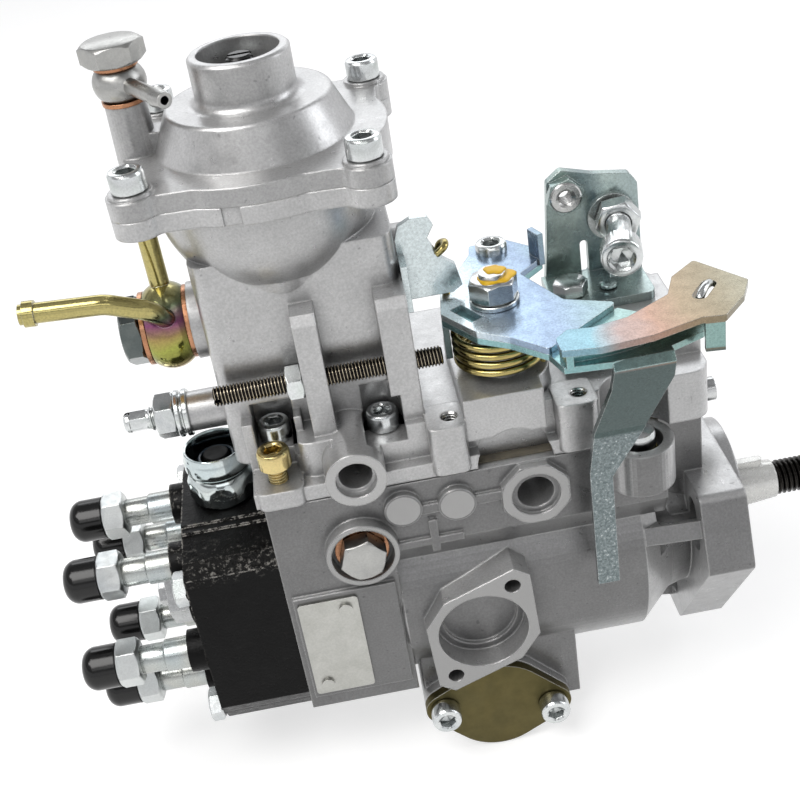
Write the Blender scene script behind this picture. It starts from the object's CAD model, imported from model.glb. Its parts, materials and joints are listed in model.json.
"""Looks of the distributor-type injection pump: materials, threads, springs, paint, light and camera.

The part's own frame has +X out of the drive end, +Z up and -Y on the throttle side. Materials, light and
camera are in metres; the mesh pieces are given in millimetres.
"""

import json
import math

import bmesh
import bpy
from mathutils import Matrix, Vector


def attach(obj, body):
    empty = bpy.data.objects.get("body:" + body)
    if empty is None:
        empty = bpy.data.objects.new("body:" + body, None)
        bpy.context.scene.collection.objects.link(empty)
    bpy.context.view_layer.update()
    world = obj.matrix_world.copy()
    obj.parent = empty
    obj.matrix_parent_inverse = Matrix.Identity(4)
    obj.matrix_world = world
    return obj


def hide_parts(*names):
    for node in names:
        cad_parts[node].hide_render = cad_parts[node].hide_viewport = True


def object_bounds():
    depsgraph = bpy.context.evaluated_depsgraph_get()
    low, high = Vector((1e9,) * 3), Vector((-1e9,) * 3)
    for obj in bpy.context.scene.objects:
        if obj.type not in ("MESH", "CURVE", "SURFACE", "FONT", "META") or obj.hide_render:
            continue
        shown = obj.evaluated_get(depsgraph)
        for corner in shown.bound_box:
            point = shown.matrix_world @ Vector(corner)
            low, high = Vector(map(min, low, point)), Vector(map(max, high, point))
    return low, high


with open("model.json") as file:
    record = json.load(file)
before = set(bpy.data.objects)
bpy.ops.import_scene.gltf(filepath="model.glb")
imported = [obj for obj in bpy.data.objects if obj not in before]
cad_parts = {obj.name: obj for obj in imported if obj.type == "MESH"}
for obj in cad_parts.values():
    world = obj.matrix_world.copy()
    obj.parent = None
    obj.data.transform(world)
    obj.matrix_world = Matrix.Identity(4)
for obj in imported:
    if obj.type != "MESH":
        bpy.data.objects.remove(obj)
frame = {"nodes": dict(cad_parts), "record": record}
cad_lo, cad_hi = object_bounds()
MM = 0.001
NODES = frame["nodes"]
TRACED_SAMPLES = 4
# Place of the governor lever's pivot screws, in millimetres
PIVOT_X, PIVOT_Y, PIVOT_Z = -121.5, 39.7, 33.8


# Materials: small helpers that build node trees

class Tree:
    """A material's node tree with short calls for the nodes used here."""

    def __init__(self, name):
        self.mat = bpy.data.materials.new(name)
        self.mat.use_nodes = True
        self.nt = self.mat.node_tree
        self.bsdf = self.nt.nodes["Principled BSDF"]
        coord = self.nt.nodes.new("ShaderNodeTexCoord")
        self.place = coord.outputs["Object"]

    def link(self, source, target):
        self.nt.links.new(source, target)

    def put(self, value, socket):
        if hasattr(value, "links"):
            self.link(value, socket)
        else:
            socket.default_value = value

    def noise(self, scale, detail=4.0, rough=0.55, stretch=None, distortion=0.0):
        node = self.nt.nodes.new("ShaderNodeTexNoise")
        node.inputs["Scale"].default_value = scale
        node.inputs["Detail"].default_value = detail
        node.inputs["Roughness"].default_value = rough
        node.inputs["Distortion"].default_value = distortion
        place = self.place
        if stretch:
            mapping = self.nt.nodes.new("ShaderNodeMapping")
            mapping.inputs["Scale"].default_value = stretch
            self.link(self.place, mapping.inputs["Vector"])
            place = mapping.outputs["Vector"]
        self.link(place, node.inputs["Vector"])
        return node.outputs["Fac"]

    def ramp(self, value, *stops):
        node = self.nt.nodes.new("ShaderNodeValToRGB")
        points = node.color_ramp.elements
        while len(points) < len(stops):
            points.new(0.5)
        for point, (place, colour) in zip(points, stops):
            point.position = place
            grey = isinstance(colour, (int, float))
            point.color = (colour, colour, colour, 1) if grey else (*colour, 1)
        self.link(value, node.inputs["Fac"])
        return node.outputs["Color"]

    def maths(self, operation, a, b=0.0, clamp=False):
        node = self.nt.nodes.new("ShaderNodeMath")
        node.operation = operation
        node.use_clamp = clamp
        self.put(a, node.inputs[0])
        self.put(b, node.inputs[1])
        return node.outputs[0]

    def mix(self, share, a, b, blend="MIX"):
        node = self.nt.nodes.new("ShaderNodeMix")
        node.data_type = "RGBA"
        node.blend_type = blend
        self.put(share, node.inputs["Factor"])
        for value, socket in ((a, node.inputs["A"]), (b, node.inputs["B"])):
            self.put(value if hasattr(value, "links") else (*value, 1), socket)
        return node.outputs["Result"]

    def bump(self, height, strength, distance, normal=None):
        node = self.nt.nodes.new("ShaderNodeBump")
        node.inputs["Strength"].default_value = strength
        node.inputs["Distance"].default_value = distance
        self.link(height, node.inputs["Height"])
        if normal is not None:
            self.link(normal, node.inputs["Normal"])
        return node.outputs["Normal"]

    def soft_edges(self, radius):
        node = self.nt.nodes.new("ShaderNodeBevel")
        node.samples = TRACED_SAMPLES
        node.inputs["Radius"].default_value = radius
        return node.outputs["Normal"]

    def edge_mask(self, rounded, low=0.02, high=0.25):
        """1 along an edge, where the rounded normal turns away from the face's own."""
        geometry = self.nt.nodes.new("ShaderNodeNewGeometry")
        dot = self.nt.nodes.new("ShaderNodeVectorMath")
        dot.operation = "DOT_PRODUCT"
        self.link(rounded, dot.inputs[0])
        self.link(geometry.outputs["Normal"], dot.inputs[1])
        away = self.maths("SUBTRACT", 1.0, dot.outputs["Value"])
        return self.ramp(away, (low, 0.0), (high, 1.0))

    def hollow(self, distance):
        node = self.nt.nodes.new("ShaderNodeAmbientOcclusion")
        node.samples = TRACED_SAMPLES
        node.inputs["Distance"].default_value = distance
        return node.outputs["AO"]

    def axis(self, which):
        node = self.nt.nodes.new("ShaderNodeSeparateXYZ")
        self.link(self.place, node.inputs[0])
        return node.outputs[which]

    def facing(self, which):
        """How squarely the surface faces along the axis, as a signed number."""
        geometry = self.nt.nodes.new("ShaderNodeNewGeometry")
        node = self.nt.nodes.new("ShaderNodeSeparateXYZ")
        self.link(geometry.outputs["True Normal"], node.inputs[0])
        return node.outputs[which]

    def band(self, value, low, high, soft=0.00005):
        """1 where value lies between low and high."""
        up = self.maths("DIVIDE", self.maths("SUBTRACT", value, low), soft, clamp=True)
        down = self.maths("DIVIDE", self.maths("SUBTRACT", high, value), soft, clamp=True)
        return self.maths("MULTIPLY", up, down)

    def disc(self, axes, centre, radius, soft=0.0001):
        """1 inside a circle about a centre in the plane of two axes."""
        square = None
        for which, c in zip(axes, centre):
            away = self.maths("SUBTRACT", self.axis(which), c)
            part = self.maths("MULTIPLY", away, away)
            square = part if square is None else self.maths("ADD", square, part)
        away = self.maths("SQRT", square)
        return self.maths("DIVIDE", self.maths("SUBTRACT", radius, away), soft, clamp=True)

    def finish(self, colour, metallic, rough, normal=None, **sockets):
        self.put(colour if hasattr(colour, "links") else (*colour, 1), self.bsdf.inputs["Base Color"])
        self.put(metallic, self.bsdf.inputs["Metallic"])
        self.put(rough, self.bsdf.inputs["Roughness"])
        if normal is not None:
            self.link(normal, self.bsdf.inputs["Normal"])
        for name, value in sockets.items():
            self.bsdf.inputs[name.replace("_", " ")].default_value = value
        return self.mat


# Faces cut flat on the throttle side, in millimetres: centre in X and Z, radius, and place in Y
FACED_SPOTS = (
    ((PIVOT_X, PIVOT_Z), 11.2, -43.0),
    ((-66.3, 43.6), 10.6, -41.5),
    ((-119.0, 64.2), 9.3, -46.0),
    ((-88.5, -3.0), 26.0, -46.0),
    ((-107.0, 46.4), 5.2, -41.0),
    ((-90.5, 45.0), 5.2, -41.0),
)


def machined_faces(t):
    """1 where the castings are faced off square to Y: pivot boss, ports, recess and blind bosses."""
    away = t.maths("MULTIPLY", t.facing("Y"), -1.0)
    square = t.maths("GREATER_THAN", away, 0.97)
    faces = None
    for centre, radius, y in FACED_SPOTS:
        there = t.disc("XZ", (centre[0] * MM, centre[1] * MM), radius * MM)
        flat = t.band(t.axis("Y"), (y - 0.3) * MM, (y + 0.3) * MM)
        spot = t.maths("MULTIPLY", there, flat)
        faces = spot if faces is None else t.maths("MAXIMUM", faces, spot)
    return t.maths("MULTIPLY", faces, square)


def cast_aluminium(name="cast_aluminium_look", light=1.0, upright=0.34):
    """Grey casting: fine grain, dark specks and hollows, paler edges.

    light scales the whole tone, and upright is the share of it left on faces square to Y.
    """
    t = Tree(name)
    rounded = t.soft_edges(0.9 * MM)
    patches = t.ramp(t.noise(70, 3.0), (0.3, 0.54 * light), (0.7, 0.62 * light))
    grain = t.ramp(t.noise(1500, 3.0, 0.65), (0.36, 0.84), (0.66, 1.04))
    colour = t.mix(1.0, patches, grain, "MULTIPLY")
    square = t.maths("MULTIPLY", t.facing("Y"), t.facing("Y"))
    colour = t.mix(1.0, colour, t.ramp(square, (0.40, 1.0), (0.90, upright)), "MULTIPLY")
    specks = t.ramp(t.noise(420, 2.0, 0.5), (0.25, 0.60), (0.30, 1.0))
    colour = t.mix(0.7, colour, specks, "MULTIPLY")
    edge = t.edge_mask(rounded)
    colour = t.mix(t.maths("MULTIPLY", edge, 0.55), colour, (0.70, 0.70, 0.69))
    shade = t.ramp(t.hollow(7 * MM), (0.15, 0.30), (0.80, 1.0))
    colour = t.mix(0.75, colour, shade, "MULTIPLY")
    faced = machined_faces(t)
    colour = t.mix(t.maths("MULTIPLY", faced, 0.7), colour, (0.42, 0.42, 0.415))
    rough = t.ramp(t.noise(300, 3.0), (0.3, 0.27), (0.7, 0.38))
    rough = t.mix(faced, rough, (0.27, 0.27, 0.27))
    height = t.maths("ADD", t.noise(1300, 4.0, 0.6), t.maths("MULTIPLY", t.noise(260, 2.0), 1.5))
    normal = t.bump(height, 0.22, 0.14 * MM, rounded)
    return t.finish(colour, 0.75, rough, normal, Specular_IOR_Level=0.35)


def plated(name, colours, rough=(0.16, 0.30), scale=120, edge_colour=None, grain=0.12, metallic=1.0,
           edge=0.5 * MM):
    """A plated or bare metal: patches between the given colours, fine scratches and rounded edges."""
    t = Tree(name)
    rounded = t.soft_edges(edge)
    stops = [(0.25 + 0.5 * i / max(len(colours) - 1, 1), c) for i, c in enumerate(colours)]
    colour = t.ramp(t.noise(scale, 2.0, 0.5, distortion=0.6), *stops)
    fine = t.ramp(t.noise(1800, 3.0, 0.6), (0.3, 0.86), (0.7, 1.0))
    colour = t.mix(1.0, colour, fine, "MULTIPLY")
    if edge_colour:
        colour = t.mix(t.maths("MULTIPLY", t.edge_mask(rounded), 0.6), colour, edge_colour)
    shade = t.ramp(t.hollow(4 * MM), (0.1, 0.35), (0.8, 1.0))
    colour = t.mix(0.8, colour, shade, "MULTIPLY")
    roughness = t.ramp(t.noise(500, 3.0), (0.3, rough[0]), (0.7, rough[1]))
    normal = t.bump(t.noise(900, 3.0, 0.6), grain, 0.05 * MM, rounded)
    return t.finish(colour, metallic, roughness, normal)


def head_paint():
    """Black oxide on coarse steel, rough-grained, with pale worn flakes along the upper edges."""
    t = Tree("head_steel_look")
    rounded = t.soft_edges(0.7 * MM)
    colour = t.ramp(t.noise(160, 4.0, 0.6), (0.3, 0.002), (0.75, 0.006))
    flakes = t.ramp(t.noise(700, 3.0, 0.7), (0.46, 0.0), (0.56, 1.0))
    flakes = t.maths("MULTIPLY", t.edge_mask(rounded, 0.004, 0.05), flakes)
    edge = t.maths("MULTIPLY", flakes, t.ramp(t.axis("Z"), (0.010, 0.08), (0.020, 0.9)))
    ridge = t.ramp(t.axis("Z"), (0.0290, 0.0), (0.0308, 1.0), (0.0318, 1.0), (0.0330, 0.0))
    coarse = t.ramp(t.noise(620, 4.0, 0.75), (0.55, 0.0), (0.66, 0.45))
    edge = t.maths("MAXIMUM", edge, t.maths("MULTIPLY", ridge, coarse))
    colour = t.mix(edge, colour, (0.52, 0.50, 0.46))
    rough = t.ramp(t.noise(420, 3.0), (0.3, 0.24), (0.7, 0.40))
    height = t.maths("ADD", t.noise(420, 5.0, 0.65), t.noise(1200, 3.0, 0.6))
    normal = t.bump(height, 0.45, 0.30 * MM, rounded)
    return t.finish(colour, 0.0, rough, normal, Specular_IOR_Level=0.11)


def iridescent_zinc(name, base, tints, share, rough):
    """Passivated zinc whose thin film wanders through the given tints over the plate."""
    t = Tree(name)
    rounded = t.soft_edges(0.4 * MM)
    film = t.noise(26, 2.0, 0.5, stretch=(1.0, 1.6, 1.0), distortion=1.2)
    stops = [(0.24 + 0.52 * i / (len(tints) - 1), c) for i, c in enumerate(tints)]
    colour = t.mix(share, base, t.ramp(film, *stops))
    streaks = t.ramp(t.noise(240, 4.0, 0.6, stretch=(1.0, 0.25, 1.0)), (0.35, 0.80), (0.65, 1.0))
    colour = t.mix(0.7, colour, streaks, "MULTIPLY")
    colour = t.mix(t.maths("MULTIPLY", t.edge_mask(rounded), 0.5), colour, (0.88, 0.90, 0.90))
    shade = t.ramp(t.hollow(4 * MM), (0.1, 0.4), (0.8, 1.0))
    colour = t.mix(0.8, colour, shade, "MULTIPLY")
    roughness = t.ramp(t.noise(300, 3.0), (0.3, rough[0]), (0.7, rough[1]))
    normal = t.bump(t.noise(700, 3.0, 0.6), 0.10, 0.05 * MM, rounded)
    return t.finish(colour, 1.0, roughness, normal)


def plain_matter(name, dark, light, rough, scale=300, grain=0.2, gloss=0.4):
    """A rubber, plastic or fibre: two close shades, soft gloss, fine grain."""
    t = Tree(name)
    rounded = t.soft_edges(0.5 * MM)
    colour = t.ramp(t.noise(scale, 3.0), (0.3, dark), (0.7, light))
    normal = t.bump(t.noise(scale * 4, 3.0), grain, 0.05 * MM, rounded)
    roughness = t.ramp(t.noise(scale, 2.0), (0.3, rough * 0.8), (0.7, rough * 1.2))
    return t.finish(colour, 0.0, roughness, normal, Specular_IOR_Level=gloss)


LOOKS = {
    "cast_aluminium": cast_aluminium(),
    "cover_aluminium": cast_aluminium("cover_aluminium_look", 1.0, 0.84),
    "cap_aluminium": cast_aluminium("cap_aluminium_look", 0.94, 0.70),
    "head_steel": head_paint(),
    "steel": plated("steel_look", ((0.50, 0.51, 0.51), (0.66, 0.67, 0.67)), edge_colour=(0.85, 0.85, 0.85)),
    "zinc": plated("zinc_look", ((0.56, 0.59, 0.60), (0.68, 0.70, 0.69), (0.62, 0.66, 0.65)),
                   edge_colour=(0.84, 0.86, 0.85), rough=(0.28, 0.42), scale=60),
    "yellow_zinc": plated("yellow_zinc_look", ((0.55, 0.42, 0.12), (0.62, 0.50, 0.22), (0.50, 0.46, 0.25)),
                          edge_colour=(0.85, 0.75, 0.45), rough=(0.14, 0.28)),
    "black_steel": plated("black_steel_look", ((0.035, 0.035, 0.037), (0.075, 0.073, 0.07)),
                          edge_colour=(0.30, 0.29, 0.27), rough=(0.22, 0.36)),
    "black_plastic": plain_matter("black_plastic_look", 0.004, 0.007, 0.16, scale=120, grain=0.05),
    "copper": plated("copper_look", ((0.46, 0.22, 0.12), (0.58, 0.31, 0.18)), rough=(0.2, 0.35)),
    "bearing_bronze": plated("bronze_look", ((0.45, 0.30, 0.13), (0.55, 0.38, 0.18)), rough=(0.3, 0.45)),
    "seal_rubber": plain_matter("seal_rubber_look", 0.010, 0.018, 0.5),
    "gasket": plain_matter("gasket_look", (0.10, 0.09, 0.07), (0.18, 0.16, 0.12), 0.7),
    "spring_steel": plated("spring_steel_look", ((0.30, 0.29, 0.27), (0.44, 0.42, 0.38)), rough=(0.2, 0.35)),
}


def film_zinc(name, which, low, high, tints, drift=0.10, rough=(0.16, 0.30), dark=None):
    """Passivated zinc whose tint runs along an axis, between two places in millimetres."""
    t = Tree(name)
    rounded = t.soft_edges(0.35 * MM)
    along = t.maths("DIVIDE", t.maths("SUBTRACT", t.axis(which), low * MM), (high - low) * MM)
    stray = t.maths("SUBTRACT", t.noise(45, 3.0, 0.6, distortion=0.8), 0.5)
    stray = t.maths("MULTIPLY", stray, 4 * drift)
    stops = [(i / (len(tints) - 1), c) for i, c in enumerate(tints)]
    colour = t.ramp(t.maths("ADD", along, stray), *stops)
    if dark:
        colour = dark(t, colour)
    grain = t.ramp(t.noise(1500, 3.0, 0.7), (0.34, 0.80), (0.62, 1.06))
    colour = t.mix(1.0, colour, grain, "MULTIPLY")
    colour = t.mix(t.maths("MULTIPLY", t.edge_mask(rounded), 0.6), colour, (0.78, 0.80, 0.79))
    colour = t.mix(0.85, colour, t.ramp(t.hollow(4 * MM), (0.1, 0.25), (0.8, 1.0)), "MULTIPLY")
    roughness = t.ramp(t.noise(300, 3.0), (0.3, rough[0]), (0.7, rough[1]))
    normal = t.bump(t.noise(900, 3.0, 0.6), 0.14, 0.05 * MM, rounded)
    return t.finish(colour, 0.85, roughness, normal)


def quadrant_dark(t, colour):
    """Teal under the arc, and the grey-green hanging arm, grained and flecked below its bend."""
    under = t.band(t.axis("Z"), 96.0 * MM, 103.8 * MM)
    colour = t.mix(t.maths("MULTIPLY", under, 0.75), colour, (0.26, 0.46, 0.45))
    arm = t.band(t.axis("Z"), 0.0, 96.6 * MM, 1.5 * MM)
    colour = t.mix(arm, colour, (0.085, 0.115, 0.112))
    low = t.band(t.axis("Z"), 0.0, 68.5 * MM, 1.0 * MM)
    flecks = t.ramp(t.noise(1100, 3.0, 0.7), (0.35, (0.13, 0.16, 0.165)), (0.60, (0.24, 0.28, 0.285)),
                    (0.72, (0.60, 0.64, 0.64)))
    return t.mix(low, colour, flecks)


LEVER_ZINC = film_zinc(
    "lever_zinc_look", "X", -90, -36,
    ((0.64, 0.71, 0.72), (0.62, 0.70, 0.73), (0.34, 0.45, 0.59), (0.26, 0.34, 0.46), (0.26, 0.36, 0.39),
     (0.27, 0.36, 0.36)))
BRACKET_ZINC = film_zinc(
    "bracket_zinc_look", "X", -46, -12,
    ((0.30, 0.38, 0.37), (0.38, 0.46, 0.43), (0.24, 0.31, 0.32), (0.40, 0.48, 0.46), (0.33, 0.40, 0.40)),
    drift=0.2)
QUADRANT_ZINC = film_zinc(
    "quadrant_zinc_look", "X", -60, -4,
    ((0.22, 0.36, 0.44), (0.22, 0.38, 0.44), (0.34, 0.26, 0.24), (0.38, 0.24, 0.18), (0.30, 0.23, 0.15),
     (0.25, 0.21, 0.14), (0.29, 0.27, 0.20)), drift=0.06, dark=quadrant_dark)
GOLD_ZINC = film_zinc(
    "gold_zinc_look", "Z", 89, 116,
    ((0.42, 0.20, 0.06), (0.46, 0.34, 0.10), (0.26, 0.26, 0.06), (0.34, 0.36, 0.08), (0.36, 0.26, 0.10),
     (0.26, 0.08, 0.18), (0.16, 0.20, 0.12), (0.46, 0.40, 0.16)), drift=0.05, rough=(0.08, 0.18))
COVER_GOLD = iridescent_zinc(
    "cover_gold_look", (0.115, 0.095, 0.040),
    ((0.10, 0.088, 0.036), (0.13, 0.11, 0.045), (0.11, 0.10, 0.05)), share=0.6, rough=(0.38, 0.52))

BRIGHT_ZINC = plated("bright_zinc_look", ((0.56, 0.59, 0.60), (0.70, 0.72, 0.72), (0.62, 0.66, 0.64)),
                     rough=(0.15, 0.27), edge_colour=(0.90, 0.91, 0.90), edge=0.3 * MM)
HOLDER_ZINC = plated("holder_zinc_look", ((0.40, 0.46, 0.49), (0.50, 0.51, 0.48), (0.44, 0.49, 0.50)),
                     rough=(0.24, 0.32), edge_colour=(0.66, 0.70, 0.71), grain=0.01, edge=0.2 * MM, scale=50)
CHROME = plated("cup_zinc_look", ((0.52, 0.60, 0.62), (0.64, 0.68, 0.66)), rough=(0.06, 0.13),
                edge_colour=(0.85, 0.90, 0.92), grain=0.03, edge=0.3 * MM)
PROUD_GOLD = plated("proud_gold_look", ((0.62, 0.48, 0.20), (0.70, 0.56, 0.26), (0.56, 0.50, 0.24)),
                    rough=(0.12, 0.24), edge_colour=(0.92, 0.82, 0.52), edge=0.3 * MM)
SPRING_GOLD = plated("spring_gold_look", ((0.36, 0.29, 0.10), (0.46, 0.38, 0.15), (0.34, 0.30, 0.13)),
                     rough=(0.12, 0.22), grain=0.05, edge=0.1 * MM)
BLACK_OXIDE = plated("black_oxide_look", ((0.018, 0.017, 0.016), (0.040, 0.037, 0.033)),
                     rough=(0.20, 0.32), grain=0.06, edge=0.05 * MM)
WORN_CREST = plated("worn_crest_look", ((0.36, 0.31, 0.23), (0.48, 0.42, 0.32)),
                    rough=(0.22, 0.34), grain=0.06, edge=0.05 * MM)
CAP_BLACK = plain_matter("black_screw_look", 0.006, 0.012, 0.22, grain=0.05)
COIL_BLACK = plain_matter("coil_black_look", 0.003, 0.006, 0.45, gloss=0.1)
DARK_BLUE = plain_matter("coil_rim_look", (0.010, 0.020, 0.032), (0.020, 0.034, 0.050), 0.15)
BRUSHED_STEEL = plated("brushed_steel_look", ((0.38, 0.38, 0.37), (0.50, 0.50, 0.48)), rough=(0.26, 0.40),
                       edge_colour=(0.72, 0.72, 0.70), edge=0.3 * MM)
DARK_STEEL = plated("dark_steel_look", ((0.10, 0.12, 0.12), (0.20, 0.22, 0.21)), rough=(0.12, 0.22),
                    edge_colour=(0.50, 0.52, 0.50), edge=0.3 * MM)
POLISHED_STEEL = plated("polished_steel_look", ((0.80, 0.80, 0.77), (0.90, 0.90, 0.87)), rough=(0.22, 0.32),
                        edge_colour=(0.88, 0.88, 0.86), grain=0.04, metallic=0.35)
PLATE_METAL = plated("plate_look", ((0.44, 0.44, 0.41), (0.53, 0.53, 0.50)),
                     rough=(0.30, 0.42), edge_colour=(0.75, 0.75, 0.72), edge=0.2 * MM)
# Golden low down, on the lobe's washers, and silver on the stop bolt's
WASHER_ZINC = film_zinc("washer_zinc_look", "Z", 60, 80, ((0.46, 0.38, 0.16), (0.62, 0.65, 0.64)), drift=0.0)
MACHINED = plated("machined_look", ((0.55, 0.55, 0.54), (0.66, 0.66, 0.65)),
                  rough=(0.2, 0.3), edge=0.05 * MM)
YELLOW_PAINT = plain_matter("paint_look", (0.72, 0.42, 0.010), (0.84, 0.52, 0.018), 0.35,
                            scale=400, grain=0.3)

SLOTS = {row["node"]: row["material_slot"] for row in frame["record"]["subparts"]}
# Nodes whose look isn't that of their record's material slot
OWN_LOOKS = {
    "delivery_valve_holders": LOOKS["zinc"],
    "head_plug": LOOKS["steel"],
    "timing_covers": COVER_GOLD,
    "control_lever": LEVER_ZINC,
    "quadrant_lever": QUADRANT_ZINC,
    "spring_anchor": LEVER_ZINC,
    "stop_bracket": BRACKET_ZINC,
    "overflow_banjo": GOLD_ZINC,
    "return_spring": LOOKS["yellow_zinc"],
    "air_banjo": BRUSHED_STEEL,
    "blank_plate": PLATE_METAL,
    "governor_cover": LOOKS["cover_aluminium"],
    "compensator_cap": LOOKS["cap_aluminium"],
    "plain_washers": WASHER_ZINC,
}


def dress(node, look):
    """Gives a CAD node one of the looks, in every slot that it has."""
    mesh = NODES[node].data
    if not mesh.materials:
        mesh.materials.append(look)
    for i in range(len(mesh.materials)):
        mesh.materials[i] = look


for name in NODES:
    dress(name, OWN_LOOKS.get(name, LOOKS.get(SLOTS.get(name), LOOKS["steel"])))


# Meshes: turned, threaded, six-sided and bent pieces, each a closed solid; their lengths are in millimetres

X, Y, Z = Vector((1, 0, 0)), Vector((0, 1, 0)), Vector((0, 0, 1))
TAN_30 = math.tan(math.radians(30))
TURN_STEPS, FINE_STEPS = 48, 72
# Half the width over flats of the hexagons, and bores of the nuts with 0.02 mm of air
M8_HEX, M6_HEX = 6.5, 5.0
M8_BORE, M6_BORE = 4.02, 3.02
# Axes that several pieces share
COMPENSATOR_X, COMPENSATOR_Y = -129.1, 2.5
FULL_LOAD_Z, GOVERNOR_SHAFT_Z = 70.0, 42.0


def hexagon(apothem):
    """Radius of a hexagon with a corner at angle 0, as a function of the angle."""
    return lambda angle: apothem / math.cos(math.radians(angle % 60.0 - 30.0))


def least(*sizes):
    """The smallest of several radii, each a number or a function of the angle."""
    return lambda angle: min(size(angle) if callable(size) else size for size in sizes)


def hex_rings(apothem, height):
    """Outside of a nut or bolt head from 0 to its height, with both rims turned to 30 degrees."""
    flat = 0.95 * apothem
    rise = (apothem / math.cos(math.radians(30)) - flat) * TAN_30
    levels = [rise * i / 4 for i in range(5)]
    rings = [(h, least(hexagon(apothem), flat + h / TAN_30)) for h in levels]
    return rings + [(height - h, size) for h, size in reversed(rings)]


def smooth_path(points, per=6):
    """Points of a curve that passes through the given ones."""
    points = [Vector(p) for p in points]
    ends = [2 * points[0] - points[1]] + points + [2 * points[-1] - points[-2]]
    path = []
    for a, b, c, d in zip(ends, ends[1:], ends[2:], ends[3:]):
        for i in range(per):
            t = i / per
            path.append(0.5 * (2 * b + (c - a) * t + (2 * a - 5 * b + 4 * c - d) * t * t
                               + (3 * b - a - 3 * c + d) * t ** 3))
    return path + [points[-1]]


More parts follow.
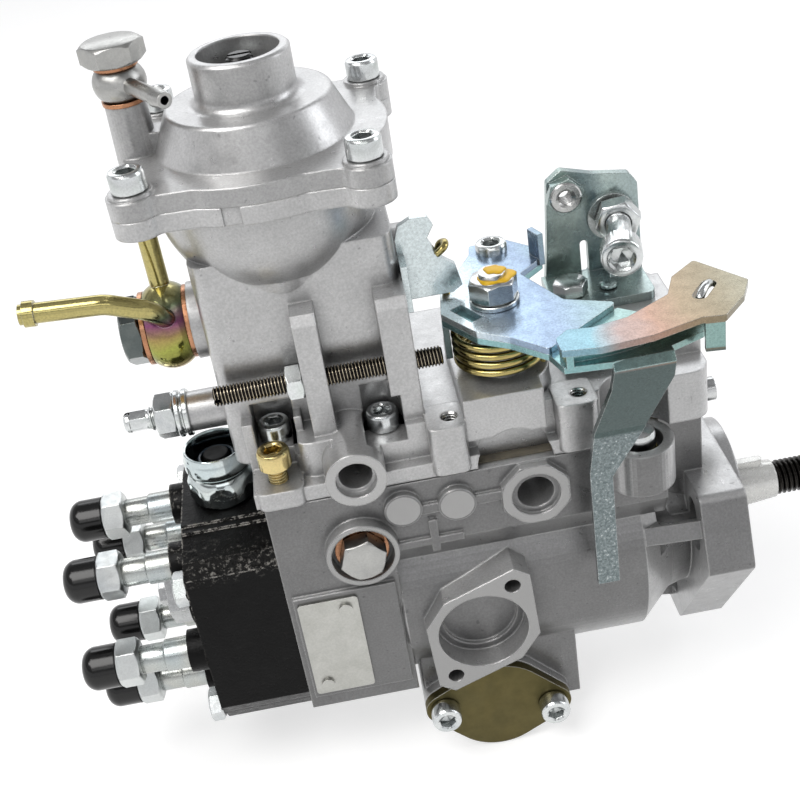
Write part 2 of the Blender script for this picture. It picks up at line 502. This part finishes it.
class Solid:
    """A mesh in the making: pieces placed by an origin and two directions, heights running along u x v."""

    def __init__(self, name, *looks):
        self.name, self.looks, self.bm = name, looks, bmesh.new()

    def at(self, origin, u=X, v=Y):
        self.origin, self.u, self.v = Vector(origin), Vector(u).normalized(), Vector(v).normalized()
        self.w = self.u.cross(self.v)
        return self

    def vert(self, height, radius, angle):
        t = math.radians(angle)
        across = (self.u * math.cos(t) + self.v * math.sin(t)) * radius
        return self.bm.verts.new((self.origin + self.w * height + across) * MM)

    def face(self, verts, look=0):
        self.bm.faces.new(verts).material_index = look

    def skin(self, rows, look=0):
        """Faces between rows of vertices, outward where the rows climb and their points turn from u to v."""
        for low, high in zip(rows, rows[1:]):
            for i in range(len(low)):
                j = (i + 1) % len(low)
                self.face((low[i], low[j], high[j], high[i]), look)

    def turned(self, rings, steps=TURN_STEPS, turn=0.0, look=0, hollow=False):
        """Joins rings of (height, radius). Hollow joins the last to the first, else both ends are closed."""
        rows = []
        for height, radius in rings:
            angles = [360.0 * i / steps for i in range(steps)]
            sizes = [radius(a) if callable(radius) else radius for a in angles]
            rows.append([self.vert(height, size, a + turn) for a, size in zip(angles, sizes)])
        self.skin(rows + rows[:1] if hollow else rows, look)
        if not hollow:
            self.face(rows[0][::-1], look)
            self.face(rows[-1], look)
        return self

    def nut(self, apothem, height, bore, turn=0.0, look=0):
        """A chamfered nut with broken edges at its bore."""
        rings = [(0.35, bore), (0, bore + 0.35)] + hex_rings(apothem, height)
        rings += [(height, bore + 0.35), (height - 0.35, bore)]
        return self.turned(rings, TURN_STEPS, turn, look, True)

    def hex_bolt(self, apothem, height, shank, length, turn=0.0, look=0):
        """A bolt whose six-sided head stands on height 0."""
        rings = [(-length, shank - 0.5), (0.5 - length, shank), (-0.01, shank)] + hex_rings(apothem, height)
        return self.turned(rings, TURN_STEPS, turn, look)

    def socket_bolt(self, shank, length, head, height, across, depth, turn=0.0, look=0, knurl=0.0):
        """A socket cap screw whose head stands on height 0; knurl is the depth of its ribs."""
        def side(angle):
            return head - knurl * (angle // 5.0 % 2.0)
        key = hexagon(across / 2)
        rings = [(-length, shank - 0.5), (0.5 - length, shank), (-0.01, shank), (0, head - 0.4), (0.35, side),
                 (height - 1.0, side), (height - 0.7, head - 0.15), (height - 0.2, head - 0.45),
                 (height, head - 1.0), (height, across / 2 + 0.75), (height - 0.5, key),
                 (height - depth, key), (height - depth - 0.8, 0.3)]
        return self.turned(rings, FINE_STEPS, turn, look)

    def thread(self, length, radius, pitch, depth, steps=24, look=0, crest=0, inside=False):
        """A V thread with broken ends, its crests in a look of their own. An inside one lines a hole."""
        way = -1 if inside else 1
        root = radius if inside else radius - depth
        top = radius - depth if inside else radius
        rows, kinds = [], []
        profile = ((0.0, top, crest), (0.22, top, look), (0.5, root, look), (0.72, root, look))
        for turn in range(-2, int(length / pitch) + 3):
            for share, size, kind in profile:
                row = []
                for i in range(steps):
                    height = min(max((turn + share + i / steps) * pitch, 0.0), length)
                    reach = way * min(way * size, way * root - 0.02 + min(height, length - height))
                    row.append(self.vert(height, reach, 360.0 * i / steps))
                rows.append(row)
                kinds.append(kind)
        for k in range(len(rows) - 1):
            for i in range(steps):
                low, high = rows[k], rows[k + 1]
                if i + 1 < steps:
                    quad = (low[i], low[i + 1], high[i + 1], high[i])
                elif k + len(profile) + 1 < len(rows):
                    quad = (low[i], rows[k + len(profile)][0], rows[k + len(profile) + 1][0], high[i])
                else:
                    continue
                self.face(quad[::-1] if inside else quad, kinds[k])
        rim = root + 0.02 if inside else root - 0.02
        ends = [[self.vert(h, rim, 360.0 * i / steps) for i in range(steps)] for h in (0, length)]
        if inside:
            outer = [[self.vert(h, rim + 0.1, 360.0 * i / steps) for i in range(steps)] for h in (0, length)]
            self.skin([ends[0], outer[0], outer[1], ends[1]], look)
        else:
            self.face(ends[0][::-1], look)
            self.face(ends[1], look)
        return self

    def prism(self, outline, height, look=0):
        """A plate of the given outline, in u and v, from height 0."""
        rows = []
        for h in (0, height):
            places = [self.origin + self.u * a + self.v * b + self.w * h for a, b in outline]
            rows.append([self.bm.verts.new(place * MM) for place in places])
        self.skin(rows, look)
        self.face(rows[0][::-1], look)
        self.face(rows[1], look)
        return self

    def wire(self, points, radius, sides=14, look=0):
        """A round wire along the points, with softened ends."""
        points = [Vector(p) for p in points]
        sizes = [radius] * len(points)
        sizes[0] = sizes[-1] = 0.75 * radius
        along = (points[1] - points[0]).normalized()
        u = along.orthogonal().normalized()
        rows = []
        for i, point in enumerate(points):
            after, before = points[min(i + 1, len(points) - 1)], points[max(i - 1, 0)]
            along = (after - before).normalized()
            u = (u - along * u.dot(along)).normalized()
            self.at(point, u, along.cross(u))
            rows.append([self.vert(0, sizes[i], 360.0 * k / sides) for k in range(sides)])
        self.skin(rows, look)
        self.face(rows[0][::-1], look)
        self.face(rows[-1], look)
        return self

    def dab(self, radius, height, seed=0, look=0):
        """A flat drop of paint with an uneven rim."""
        def rim(share):
            return lambda a: radius * share * (1 + 0.16 * math.sin(math.radians(2 * a + 70 * seed))
                                               + 0.09 * math.sin(math.radians(5 * a + 40 * seed)))
        rings = [(-0.1, rim(0.97)), (0, rim(1.0)), (height * 0.6, rim(0.93)), (height * 0.95, rim(0.7)),
                 (height, rim(0.3))]
        return self.turned(rings, 40, 0, look)

    def done(self, body, replaced=(), sharp=32.0):
        """Makes the object, lets it ride on a body and take the place of the replaced CAD nodes."""
        bmesh.ops.remove_doubles(self.bm, verts=self.bm.verts[:], dist=2e-7)
        mesh = bpy.data.meshes.new(self.name)
        self.bm.to_mesh(mesh)
        self.bm.free()
        for look in self.looks:
            mesh.materials.append(look)
        mesh.polygons.foreach_set("use_smooth", [True] * len(mesh.polygons))
        mesh.set_sharp_from_angle(angle=math.radians(sharp))
        obj = bpy.data.objects.new(self.name, mesh)
        bpy.context.scene.collection.objects.link(obj)
        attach(obj, body)
        if replaced:
            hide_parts(*replaced)
        return obj


def cut(obj, lo, hi):
    """Takes the box between two corners out of a mesh."""
    mesh = bpy.data.meshes.new(obj.name + "_cutter")
    bm = bmesh.new()
    bmesh.ops.create_cube(bm, size=1.0)
    lo, hi = Vector(lo) * MM, Vector(hi) * MM
    for v in bm.verts:
        v.co = Vector(lo[k] + (v.co[k] + 0.5) * (hi[k] - lo[k]) for k in range(3))
    bm.to_mesh(mesh)
    bm.free()
    cutter = bpy.data.objects.new(mesh.name, mesh)
    bpy.context.scene.collection.objects.link(cutter)
    modifier = obj.modifiers.new("cut", "BOOLEAN")
    modifier.operation, modifier.object, modifier.solver = "DIFFERENCE", cutter, "EXACT"
    bpy.context.view_layer.update()
    result = bpy.data.meshes.new_from_object(obj.evaluated_get(bpy.context.evaluated_depsgraph_get()))
    obj.modifiers.remove(modifier)
    obj.data = result
    bpy.data.objects.remove(cutter)


# Delivery valve holders: thread, two turned steps with a groove, chamfered hexagon and pipe end
VALVE_FOOT_X, VALVE_RING_R, VALVE_PHASE, VALVE_COUNT = -183.5, 29.6, 4.6, 6
solid = Solid("valve_holders_turned", HOLDER_ZINC, LOOKS["zinc"])
for i in range(VALVE_COUNT):
    angle = math.radians(VALVE_PHASE + 360.0 / VALVE_COUNT * i)
    solid.at((VALVE_FOOT_X, VALVE_RING_R * math.cos(angle), VALVE_RING_R * math.sin(angle)), Y, -Z)
    solid.turned([(-14, 5.2), (-13.5, 5.6), (0, 5.6), (0.05, 5.3), (7.7, 5.3), (8.0, 5.1), (8.1, 4.8),
                  (8.3, 4.65), (8.6, 4.7), (15.6, 4.7), (16.3, 4.4)])
    solid.at(solid.origin + solid.w * 16.2, Y, -Z).turned(hex_rings(7.0, 7.6), look=1)
    solid.turned([(7.4, 5.8), (16.2, 5.8), (16.6, 5.4), (16.6, 1.6), (10.6, 1.6)])
solid.done("housing", ["delivery_valve_holders"])

# Cut-off valve: turned cup with a rounded six-sided foot, waist groove and open rim, and its dark coil
CUTOFF_X = -163.2
cup = least(hexagon(10.5), 11.25)
solid = Solid("cutoff_cup", CHROME, COIL_BLACK, DARK_BLUE)
solid.at((CUTOFF_X, 0, 0))
solid.turned([(25, 8.0), (25.5, 8.5), (37, 8.5), (37.02, 9.6), (37.6, 10.5), (38.6, cup), (44.2, cup),
              (45.4, 10.75), (46.3, 10.3), (46.9, 9.85), (47.6, 9.8), (48.2, 10.1), (48.9, 10.6),
              (49.8, 10.8), (52.8, 10.8), (53.5, 10.5), (54.2, 10.35), (55.2, 10.3), (55.8, 10.1),
              (56.0, 9.75), (55.8, 9.3), (55.0, 9.05), (44.0, 9.0)], FINE_STEPS)
solid.turned([(44.02, 8.9), (48.6, 8.9), (49.0, 8.5), (49.0, 6.2), (51.4, 6.0), (51.8, 5.7), (51.8, 5.2),
              (50.0, 5.0), (50.0, 4.2), (52.7, 4.2), (53.0, 3.9)], look=1)
solid.turned([(51.3, 6.15), (51.95, 6.0), (52.1, 5.6), (51.95, 5.2), (51.3, 5.1)], look=2, hollow=True)
solid.done("housing", ["cutoff_valve"])

# Socket screws: compensator cap, cover, timing covers, the yellow one that stands proud and the lobe's
CAP_CENTRE, CAP_TURN = Vector((COMPENSATOR_X, COMPENSATOR_Y, 0)), math.radians(-5.0)
CAP_SCREW_SPREAD, CAP_SCREW_Z = 31.6, 156.5
COVER_SCREWS, COVER_SCREW_Z = ((-141.0, -19.0), (-108.0, -24.0), (-141.0, 28.0), (-20.0, 26.0)), 67.0
TIMING, TIMING_SPREAD, TIMING_TILT = Vector((-86.6, 0, -41.0)), 18.4, math.radians(-8.9)
TIMING_FACE_Y = 41.7
PROUD_X, PROUD_Y, PROUD_HEAD_Z, PROUD_TIP_Z = -142.0, -33.0, 66.0, 55.0
LOBE_SCREW = (-33.0, -37.5, 51.9)
M6 = {"shank": 3.0, "head": 5.0, "height": 6.0, "across": 4.95, "depth": 3.2}
solid = Solid("socket_screw_set", BRIGHT_ZINC, PROUD_GOLD)
cap_turn = Matrix.Rotation(CAP_TURN, 3, "Z")
for i, (sx, sy) in enumerate(((-1, -1), (-1, 1), (1, -1), (1, 1))):
    solid.at(CAP_CENTRE + cap_turn @ Vector((sx, sy, 0)) * CAP_SCREW_SPREAD + Z * CAP_SCREW_Z)
    solid.socket_bolt(length=11.5, turn=17 + 13 * i, **M6)
for i, (x, y) in enumerate(COVER_SCREWS):
    solid.at((x, y, COVER_SCREW_Z)).socket_bolt(length=12.0, turn=25 * i, **M6)
for facing in (-1, 1):
    for sign in (-1, 1):
        spread = Vector((math.cos(TIMING_TILT), 0, math.sin(TIMING_TILT))) * TIMING_SPREAD * sign
        solid.at(TIMING + spread + Y * facing * TIMING_FACE_Y, X, Z * -facing)
        solid.socket_bolt(length=13.0, turn=20 * sign, **M6)
solid.at((PROUD_X, PROUD_Y, PROUD_HEAD_Z)).socket_bolt(length=0.5, turn=12, look=1, **M6)
solid.at((PROUD_X, PROUD_Y, PROUD_TIP_Z)).thread(PROUD_HEAD_Z - PROUD_TIP_Z, 3.0, 1.0, 0.5, look=1, crest=1)
solid.at(LOBE_SCREW).turned([(-9.4, 2.6), (-9, 3.0), (0, 3.0), (0, 4.7), (0.5, 5.0), (4.6, 5.0),
                             (5.6, 4.5), (6.0, 3.6)])
solid.done("housing", ["socket_screws"])

# Lock nuts of the compensator's adjuster, full-load screw, governor shaft, stop stud and stop bolt
STUD_X0, STUD_X1, STUD_Y, STUD_Z = -155.6, -87.5, -26.5, 89.3
STUD_NUT_X, FULL_LOAD_NUT_X, GOVERNOR_NUT_X, ADJUSTER_NUT_Z = -129.0, -171.7, -9.0, 171.0
SWING = math.radians(12.0)
BOLT_ACROSS = Vector((math.cos(SWING), -math.sin(SWING), 0))
BOLT_OUT = Vector((-math.sin(SWING), -math.cos(SWING), 0))
BOLT_ROOT = Vector((-20.9, 25.0, 99.0))
solid = Solid("lock_nut_set", BRIGHT_ZINC)
solid.at((COMPENSATOR_X, COMPENSATOR_Y, ADJUSTER_NUT_Z)).nut(M8_HEX, 4.5, M8_BORE, 20)
solid.at((FULL_LOAD_NUT_X, 0, FULL_LOAD_Z), Y, -Z).nut(M8_HEX, 6.5, M8_BORE, -15)
solid.at((GOVERNOR_NUT_X, 0, GOVERNOR_SHAFT_Z), Y, Z).nut(M8_HEX, 7.0, M8_BORE, 8)
solid.at((STUD_NUT_X, STUD_Y, STUD_Z), Y, -Z).nut(M6_HEX, 5.0, M6_BORE, -30)
solid.at(BOLT_ROOT + BOLT_OUT * 1.2, BOLT_ACROSS, Z).nut(M8_HEX, 6.5, M8_BORE, 10)
solid.done("housing", ["lock_nuts"])

# Adjusting screws: slotted stop stud, full-load screw with its collar, and the compensator's adjuster
FULL_LOAD_X, FULL_LOAD_COLLAR_X, ADJUSTER_Z, SLOT_HALF = -180.5, -167.5, 162.0, 0.6
solid = Solid("adjusting_screw_set", BLACK_OXIDE, WORN_CREST, BRIGHT_ZINC, CAP_BLACK)
solid.at((STUD_X0, STUD_Y, STUD_Z), Y, Z).thread(STUD_X1 - STUD_X0, 3.0, 1.0, 0.55, look=0, crest=1)
solid.at((FULL_LOAD_X, 0, FULL_LOAD_Z), Y, Z).thread(40.0, 4.0, 1.25, 0.6, look=2, crest=2)
flats = least(hexagon(3.0), 3.45)
solid.turned([(-8.0, 2.4), (-7.6, 2.9), (-7.2, 3.3), (-6.2, 3.4), (-6.0, flats), (-0.8, flats), (-0.6, 3.2),
              (0.6, 3.2)], TURN_STEPS, 18, 2)
solid.at((FULL_LOAD_COLLAR_X, 0, FULL_LOAD_Z), Y, -Z)
solid.turned([(0, M8_BORE), (0, 7.3), (0.3, 7.6), (1.5, 7.6), (1.8, 7.3), (1.9, 6.7), (2.6, 6.6), (2.7, 7.3),
              (3.0, 7.6), (3.9, 7.6), (4.2, 7.3), (4.2, M8_BORE)], look=2, hollow=True)
solid.at((COMPENSATOR_X, COMPENSATOR_Y, ADJUSTER_Z)).thread(16.7, 4.0, 1.25, 0.7, look=3, crest=3)
obj = solid.done("housing", ["adjusting_screws"])
# Screwdriver slots of the stud, the full-load screw and the compensator's adjuster
cut(obj, (STUD_X0 - 1, STUD_Y - 4, STUD_Z - SLOT_HALF), (STUD_X0 + 2.0, STUD_Y + 4, STUD_Z + SLOT_HALF))
cut(obj, (-190, -0.5, FULL_LOAD_Z - 4), (-186.3, 0.5, FULL_LOAD_Z + 4))
cut(obj, (-134, 1.8, 176.9), (-124, 3.2, 180))

# Return spring: close coils round the bearing and the end that climbs to the anchor plate and hooks over it
LEVER_X, LEVER_Y = -69.5, -20.5
SPRING_R, SPRING_Z0, SPRING_Z1, SPRING_WIRE_R = 13.2, 81.6, 94.2, 1.1
SPRING_TURNS, SPRING_STEPS, SPRING_START = 4.6, 40, -30
coil = []
for i in range(int(SPRING_TURNS * SPRING_STEPS) + 1):
    angle = math.radians(SPRING_START + 360.0 / SPRING_STEPS * i)
    coil.append((LEVER_X + SPRING_R * math.cos(angle), LEVER_Y + SPRING_R * math.sin(angle),
                 SPRING_Z0 + (SPRING_Z1 - SPRING_Z0) * i / (SPRING_TURNS * SPRING_STEPS)))
rise = smooth_path([coil[-1], (-81.8, -13.0, 97.5), (-82.8, -8.6, 103.0), (-83.6, -7.6, 110.0),
                    (-82.6, -8.0, 115.5), (-81.0, -10.6, 117.6), (-81.6, -13.6, 117.4),
                    (-84.4, -14.6, 115.8)], 8)
solid = Solid("return_spring_wire", SPRING_GOLD)
solid.wire(coil + rise[1:], SPRING_WIRE_R).done("housing", ["return_spring"])

# Lever fasteners: washer and nut on the throttle shaft, and the socket screw of the two plates
LEVER_WASHER_Z, LEVER_NUT_Z, CLAMP_SCREW = 100.5, 102.12, (-64.6, 12.6, 98.5)
solid = Solid("lever_fastener_set", BRIGHT_ZINC)
solid.at((LEVER_X, LEVER_Y, LEVER_WASHER_Z))
solid.turned([(0, M8_BORE), (0, 7.2), (0.2, 7.4), (1.4, 7.4), (1.6, 7.2), (1.6, M8_BORE)], hollow=True)
solid.at((LEVER_X, LEVER_Y, LEVER_NUT_Z)).nut(M8_HEX, 6.5, M8_BORE, 10)
solid.at(CLAMP_SCREW).socket_bolt(3.0, 4.0, 5.0, 5.0, 4.95, 3.0, 12)
solid.done("throttle", ["lever_fasteners"])

# Yellow paint over the lever's nut and on the throttle shaft's end
solid = Solid("lever_paint", YELLOW_PAINT)
solid.at((LEVER_X + 1.2, LEVER_Y - 0.6, 108.62)).dab(5.0, 0.7, 1)
solid.at((LEVER_X + 1.0, LEVER_Y + 0.4, 110.5)).dab(2.9, 0.5, 2)
solid.done("throttle")

# Stop bolt: knurled socket head, plain neck and threaded end
solid = Solid("stop_bolt_turned", BRIGHT_ZINC)
solid.at(BOLT_ROOT + BOLT_OUT * 24.0, BOLT_ACROSS, Z)
solid.socket_bolt(4.0, 15.0, 6.5, 8.0, 7.0, 4.5, 8, knurl=0.18)
solid.at(BOLT_ROOT - BOLT_OUT * 15.0, BOLT_ACROSS, Z).thread(24.5, 4.0, 1.25, 0.6)
solid.done("housing", ["stop_bolt"])

# Hexagon bolts and screws: banjo bolts, head and bracket screws, and pivot screws with their inner pins
AIR_BOLT, RETURN_BOLT, BRACKET_SCREW = (-163.0, 5.0, 181.9), (-173.8, -1.0, 102.3), (-40.0, 15.0, 79.0)
HEAD_SCREW_X, HEAD_SCREWS = -178.0, ((-30.0, 24.0), (30.0, 24.0), (-29.0, -28.0), (29.0, -28.0))
solid = Solid("banjo_bolt_set", BRUSHED_STEEL, DARK_STEEL)
solid.at(AIR_BOLT).hex_bolt(8.0, 6.0, 4.0, 22.4, 8)
solid.at(RETURN_BOLT, Y, -Z).hex_bolt(9.5, 6.5, 6.0, 25.8, -20, 1)
solid.done("housing", ["banjo_bolts"])
solid = Solid("hex_screw_set", BRIGHT_ZINC)
for y, z in HEAD_SCREWS:
    solid.at((HEAD_SCREW_X, y, z), Y, -Z).hex_bolt(M6_HEX, 4.5, 3.0, 42.0, 10)
solid.at(BRACKET_SCREW).hex_bolt(M6_HEX, 4.5, 3.0, 10.0)
solid.done("housing", ["hex_screws"])
solid = Solid("pivot_screw_set", BRUSHED_STEEL)
for facing in (-1, 1):
    solid.at((PIVOT_X, facing * PIVOT_Y, PIVOT_Z), X, Z * -facing).hex_bolt(6.5, 6.4, 6.0, 9.2, 12)
    solid.turned([(-19.2, 2.6), (-18.8, 3.0), (-9.2, 3.0)])
solid.done("housing", ["pivot_screws"])

# Drive shaft: journal, taper, threaded tip, key and driving claws
DRIVE_THREAD_X, CLAW_X, KEY_FOOT = 22.6, -75.6, (13.0, 0, 5.12)
solid = Solid("drive_shaft_turned", POLISHED_STEEL, BLACK_OXIDE)
solid.at((0, 0, 0), Y, Z)
solid.turned([(-70, 13.6), (-69.6, 14), (-65, 14), (-63, 10), (2.5, 10), (3.5, 8.5), (22.3, 6.62),
              (DRIVE_THREAD_X, 6.3), (22.7, 5.2)], 64)
solid.at((DRIVE_THREAD_X, 0, 0), Y, Z).thread(18.4, 6.0, 1.75, 0.95, 36, look=1, crest=1)
for sign in (-1, 1):
    solid.at((CLAW_X, 0, 0), Y, Z).prism([(-3.5, sign * 6), (3.5, sign * 6), (3.5, sign * 13.5),
                                         (-3.5, sign * 13.5)][::sign], 5.7)
key = [(4.1 * s + 1.38 * math.cos(math.radians(a)), 1.48 * math.sin(math.radians(a)))
       for s, start in ((1, -90), (-1, 90)) for a in range(start, start + 181, 15)]
solid.at(KEY_FOOT).prism(key, 4.6)
solid.done("drive", ["drive_shaft"])

# Threads inside the cover's two bosses and the bracket's insert, and the insert's collar
COVER_BOSSES, COVER_BOSS_Y, COVER_THREAD_Z = (-88.75, -49.75), -34.6, 61.2
INSERT = (-37.6, 30.4, 108.5)
solid = Solid("inner_threads", MACHINED)
for x in COVER_BOSSES:
    solid.at((x, COVER_BOSS_Y, COVER_THREAD_Z)).thread(11.6, 2.6, 1.0, 0.42, inside=True)
solid.at(INSERT, X, Z).thread(7.0, 2.6, 1.0, 0.42, inside=True)
solid.turned([(5.2, 2.62), (5.2, 5.2), (7.0, 5.2), (7.4, 4.7), (7.4, 3.2), (7.0, 2.62)], hollow=True)
solid.done("housing")

# Pressed tongue in the quadrant's slot
solid = Solid("quadrant_tongue", BRIGHT_ZINC)
tongue = [(-17.0, -48.6, 104.6), (-15.6, -46.9, 106.1), (-13.8, -44.7, 106.6), (-11.8, -42.3, 105.9)]
solid.wire(smooth_path(tongue, 5), 1.25)
solid.done("throttle")

# Raised dimple on the bracket's foot
solid = Solid("bracket_dimple", BRACKET_ZINC)
solid.at((-27.8, 14.2, 80.0)).turned([(-0.4, 2.9), (0.0, 2.9), (0.5, 2.7), (0.9, 2.1), (1.15, 1.2),
                                      (1.2, 0.4)])
solid.done("housing")

# Yellow paint on two flats of the governor shaft's nut
solid = Solid("paint_marks", YELLOW_PAINT)
solid.at((-5.2, -2.68, 48.18), X, (0, 0.990, 0.139)).dab(1.5, 0.4, 3)
solid.at((-4.9, -6.03, 44.44), X, (0, 0.375, 0.927)).dab(2.2, 0.4, 4)
solid.done("housing")


# Light, floor, world and camera

AIM = Vector((-0.08, 0.0, 0.05))


def area(name, place, size, power, colour=(1, 1, 1)):
    """A rectangular lamp that shines on the middle of the pump."""
    data = bpy.data.lights.new(name, "AREA")
    data.shape = "RECTANGLE"
    data.size, data.size_y = size
    data.energy = power
    data.color = colour
    lamp = bpy.data.objects.new(name, data)
    bpy.context.scene.collection.objects.link(lamp)
    lamp.location = place
    lamp.rotation_mode = "QUATERNION"
    lamp.rotation_quaternion = (AIM - Vector(place)).to_track_quat("-Z", "Y")


area("key_lamp", (-0.55, -0.35, 0.95), (0.80, 0.60), 9.0, (1.0, 0.985, 0.97))
area("side_lamp", (0.90, 0.00, 0.60), (0.40, 0.70), 2.5, (0.95, 0.97, 1.0))
area("back_lamp", (0.00, 1.00, 0.72), (1.40, 0.45), 4.0, (0.96, 0.98, 1.0))
area("front_lamp", (-0.10, -1.00, 0.75), (0.90, 0.25), 1.0)


def seen_rays(nt):
    """1 for rays of the camera, of gloss and of glass, which all see the pale background."""
    path = nt.nodes.new("ShaderNodeLightPath")
    total = None
    for name in ("Is Camera Ray", "Is Glossy Ray", "Is Transmission Ray"):
        if total is None:
            total = path.outputs[name]
            continue
        most = nt.nodes.new("ShaderNodeMath")
        most.operation = "MAXIMUM"
        nt.links.new(total, most.inputs[0])
        nt.links.new(path.outputs[name], most.inputs[1])
        total = most.outputs[0]
    return total


FLOOR_HALF, FLOOR_GAP, FLOOR_GLOW = 6, 0.0002, 0.62
floor_z = cad_lo.z - FLOOR_GAP
corners = [(x * FLOOR_HALF, y * FLOOR_HALF, floor_z) for x, y in ((-1, -1), (1, -1), (1, 1), (-1, 1))]
mesh = bpy.data.meshes.new("floor")
mesh.from_pydata(corners, [], [(0, 1, 2, 3)])
floor = bpy.data.objects.new("floor", mesh)
bpy.context.scene.collection.objects.link(floor)
t = Tree("floor_look")
paper = t.ramp(t.noise(3, 2.0), (0.3, 0.50), (0.7, 0.53))
t.finish(paper, 0.0, 0.9)
glow = t.nt.nodes.new("ShaderNodeEmission")
add = t.nt.nodes.new("ShaderNodeAddShader")
output = t.nt.nodes["Material Output"]
t.link(t.maths("MULTIPLY", seen_rays(t.nt), FLOOR_GLOW), glow.inputs["Strength"])
t.link(t.bsdf.outputs[0], add.inputs[0])
t.link(glow.outputs[0], add.inputs[1])
t.link(add.outputs[0], output.inputs["Surface"])
floor.data.materials.append(t.mat)

world = bpy.data.worlds.new("studio")
bpy.context.scene.world = world
world.use_nodes = True
nt = world.node_tree
background = nt.nodes["Background"]
coord = nt.nodes.new("ShaderNodeTexCoord")
split = nt.nodes.new("ShaderNodeSeparateXYZ")
nt.links.new(coord.outputs["Generated"], split.inputs[0])
up = nt.nodes.new("ShaderNodeMapRange")
up.inputs["From Min"].default_value = -1.0
nt.links.new(split.outputs["Z"], up.inputs["Value"])


def sky(stops):
    """Grey by height, from straight down at 0 over the horizon at 0.5 to the zenith at 1."""
    ramp = nt.nodes.new("ShaderNodeValToRGB")
    while len(ramp.color_ramp.elements) < len(stops):
        ramp.color_ramp.elements.new(0.5)
    for element, (place, grey) in zip(ramp.color_ramp.elements, stops):
        element.position = place
        element.color = (grey, grey, grey * 1.02, 1)
    nt.links.new(up.outputs[0], ramp.inputs["Fac"])
    return ramp.outputs["Color"]


# What lights the pump by diffuse rays, and what the camera and the gloss of metal see
LIT_SKY = ((0.0, 0.10), (0.50, 0.10), (0.66, 0.22), (1.0, 0.40))
SEEN_SKY = ((0.0, 1.0), (0.655, 1.0), (0.69, 0.14), (0.76, 0.52), (0.88, 0.22), (1.0, 0.42))
pale = nt.nodes.new("ShaderNodeMix")
pale.data_type = "RGBA"
nt.links.new(seen_rays(nt), pale.inputs["Factor"])
nt.links.new(sky(LIT_SKY), pale.inputs["A"])
nt.links.new(sky(SEEN_SKY), pale.inputs["B"])
nt.links.new(pale.outputs["Result"], background.inputs["Color"])
background.inputs["Strength"].default_value = 1.0

# Camera solved from the photograph: place, direction and roll in degrees, focal length in its pixels
CAMERA_PLACE = (-0.111367, -0.356085, 0.285307)
CAMERA_AZIMUTH, CAMERA_ELEVATION, CAMERA_ROLL = -1.629, 32.342, 9.65
FOCAL_PIXELS, PICTURE_PIXELS, SENSOR = 1305.655, 800.0, 36.0
a, e, r = (math.radians(v) for v in (CAMERA_AZIMUTH, CAMERA_ELEVATION, CAMERA_ROLL))
back = Vector((math.sin(a) * math.cos(e), -math.cos(a) * math.cos(e), math.sin(e)))
right = Vector((math.cos(a), math.sin(a), 0.0))
top = back.cross(right)
right, top = math.cos(r) * right - math.sin(r) * top, math.sin(r) * right + math.cos(r) * top
data = bpy.data.cameras.new("camera")
data.sensor_width = SENSOR
data.lens = FOCAL_PIXELS / PICTURE_PIXELS * SENSOR
data.clip_start, data.clip_end = 0.01, 50.0
camera = bpy.data.objects.new("camera", data)
bpy.context.scene.collection.objects.link(camera)
camera.matrix_world = Matrix.Translation(CAMERA_PLACE) @ Matrix((right, top, back)).transposed().to_4x4()
bpy.context.scene.camera = camera
bpy.context.scene.view_settings.view_transform = "Standard"
